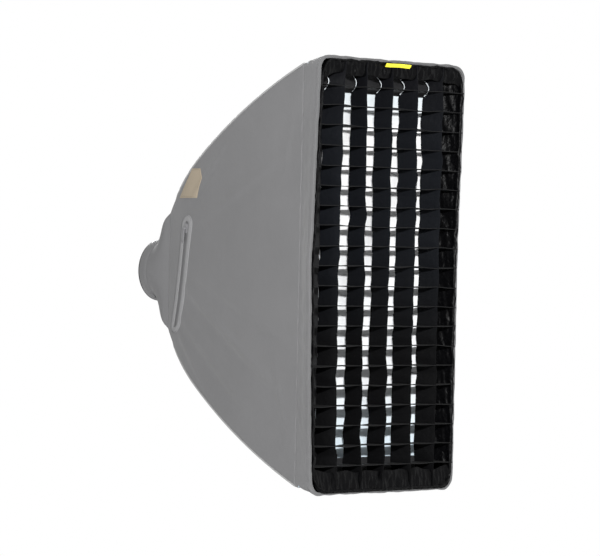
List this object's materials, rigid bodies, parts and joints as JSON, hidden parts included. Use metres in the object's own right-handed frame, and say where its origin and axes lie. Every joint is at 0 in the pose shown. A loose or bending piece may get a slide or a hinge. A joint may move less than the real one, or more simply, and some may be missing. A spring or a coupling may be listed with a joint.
{
  "type": "strip softbox",
  "caption": "Tall fabric softbox for a studio light, with a hinged rib frame, speed ring, lift-off front diffuser and slotted fabric grid.",
  "frame": {"origin": "centre of the light mount's bore on the rear seat plane of the speed ring", "axes": "+Y out of the rear along the bore, where the light leaves; -Y towards the face; +Z along the long side of the face; +X to the right as seen from the front"},
  "size_m": [0.461, 0.6973, 0.916],
  "materials": {
    "shell_fabric": "matte coated nylon, mid grey",
    "lip_fabric": "matte nylon band",
    "grid_fabric": "matte black",
    "diffuser_fabric": "white translucent",
    "baffle_fabric": "white translucent",
    "strap_webbing": "webbing",
    "ring_metal": "black satin",
    "insert_metal": "satin",
    "fastener_steel": "plated",
    "rib_metal": "satin rod",
    "yoke_plastic": "moulded",
    "tip_plastic": "moulded",
    "knob_plastic": "moulded",
    "elastic": "ribbed elastic",
    "zip_fabric": "light grey welt",
    "zip_metal": "black",
    "tab_yellow": "bright woven tape",
    "tab_tan": "matte"
  },
  "bodies": {
    "mount_insert": {"bayonet_ring": "insert_metal"},
    "ring": {"speed_ring": "ring_metal", "retaining_ring": "ring_metal", "retainer_screws": "fastener_steel", "bracket_screws": "fastener_steel", "upper_bracket": "ring_metal", "lower_bracket": "ring_metal", "upper_hinge_pin": "fastener_steel", "lower_hinge_pin": "fastener_steel", "left_panel": "shell_fabric", "right_panel": "shell_fabric", "left_lip": "lip_fabric", "right_lip": "lip_fabric", "neck_sleeve": "shell_fabric", "collar_band": "elastic", "inner_baffle": "baffle_fabric", "baffle_straps": "strap_webbing", "zip_welt": "zip_fabric", "zip_tape": "zip_fabric", "zip_coil": "zip_fabric", "rib_tab": "tab_tan"},
    "upper_ribs": {"upper_yoke": "yoke_plastic", "upper_left_rib": "rib_metal", "upper_right_rib": "rib_metal", "upper_rib_tips": "tip_plastic", "upper_corner_pockets": "strap_webbing", "top_panel": "shell_fabric", "top_lip": "lip_fabric"},
    "lower_ribs": {"lower_yoke": "yoke_plastic", "lower_left_rib": "rib_metal", "lower_right_rib": "rib_metal", "lower_rib_tips": "tip_plastic", "lower_corner_pockets": "strap_webbing", "bottom_panel": "shell_fabric", "bottom_lip": "lip_fabric"},
    "lock_knob": {"lock_knob": "knob_plastic"},
    "zip_slider": {"zip_slider": "zip_metal"},
    "zip_pull": {"zip_pull": "zip_metal"},
    "diffuser": {"front_diffuser": "diffuser_fabric", "diffuser_hem": "grid_fabric"},
    "grid": {"grid_frame": "grid_fabric", "grid_vertical_strips": "grid_fabric", "grid_horizontal_strips": "grid_fabric", "grid_pull_tab": "tab_yellow"}
  },
  "joints": [
    {"name": "ring_rotation", "type": "hinge", "parent": "mount_insert", "child": "ring", "pos_m": [0, -0.005, 0], "axis": [0, 1, 0], "continuous": true},
    {"name": "upper_fold", "type": "hinge", "parent": "ring", "child": "upper_ribs", "pos_m": [0, -0.075, 0.096], "axis": [1, 0, 0], "range_deg": [0, 32], "deforming": ["left_panel", "right_panel", "left_lip", "right_lip", "neck_sleeve", "inner_baffle", "baffle_straps", "zip_welt", "zip_tape", "zip_coil", "rib_tab", "front_diffuser", "diffuser_hem", "grid_frame", "grid_vertical_strips", "grid_horizontal_strips", "grid_pull_tab"]},
    {"name": "lower_fold", "type": "hinge", "parent": "ring", "child": "lower_ribs", "pos_m": [0, -0.075, -0.096], "axis": [-1, 0, 0], "range_deg": [0, 32], "deforming": ["left_panel", "right_panel", "left_lip", "right_lip", "neck_sleeve", "inner_baffle", "baffle_straps", "zip_welt", "zip_tape", "zip_coil", "rib_tab", "front_diffuser", "diffuser_hem", "grid_frame", "grid_vertical_strips", "grid_horizontal_strips", "grid_pull_tab"]},
    {"name": "lock_turn", "type": "hinge", "parent": "ring", "child": "lock_knob", "pos_m": [0.07, -0.0105, 0], "axis": [1, 0, 0], "range_deg": [0, 360]},
    {"name": "diffuser_off", "type": "slide", "parent": "ring", "child": "diffuser", "axis": [0, -1, 0], "range_m": [0, 0.15]},
    {"name": "grid_off", "type": "slide", "parent": "diffuser", "child": "grid", "axis": [0, -1, 0], "range_m": [0, 0.15]},
    {"name": "zip_slide", "type": "slide", "parent": "ring", "child": "zip_slider", "axis": [0.0713, 0.1862, -0.9799], "range_m": [0, 0.19]},
    {"name": "pull_swing", "type": "hinge", "parent": "zip_slider", "child": "zip_pull", "pos_m": [-0.10816, -0.18363, 0.094], "axis": [0.3505, 0.9151, 0.1994], "range_deg": [-3, 150]}
  ]
}
